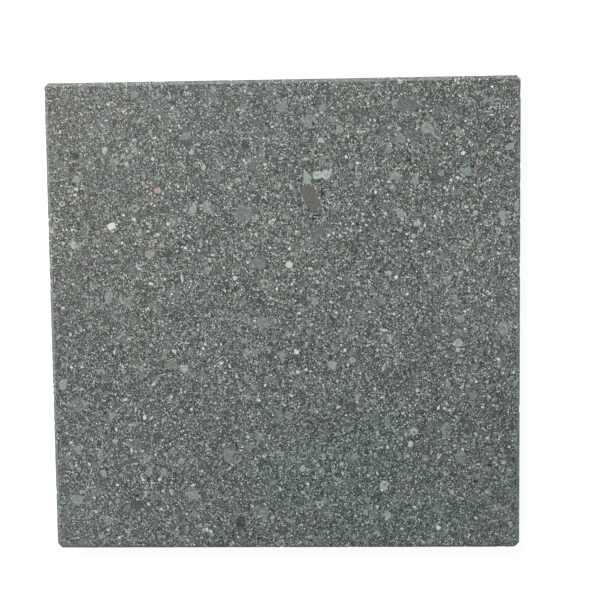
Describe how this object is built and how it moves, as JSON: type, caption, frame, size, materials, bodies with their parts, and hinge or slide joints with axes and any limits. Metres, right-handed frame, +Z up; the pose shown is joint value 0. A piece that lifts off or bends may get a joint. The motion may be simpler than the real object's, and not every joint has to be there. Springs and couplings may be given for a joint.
{
  "type": "stone paver",
  "caption": "Square sawn stone paver with a honed wearing face, ground arrises and nipped corners, laid flat as paving.",
  "frame": {"origin": "centre of the sawn bed, on the level floor that the paver lies on", "axes": "+Z up through the slab, out of the honed wearing face; +Y towards the side that is at the top of the picture, which has the widest arris; +X to the right of the picture"},
  "size_m": [0.3, 0.3, 0.03],
  "materials": {
    "stone": "honed, matt, speckled grey-green"
  },
  "bodies": {
    "root": {"slab": "stone"}
  },
  "joints": []
}
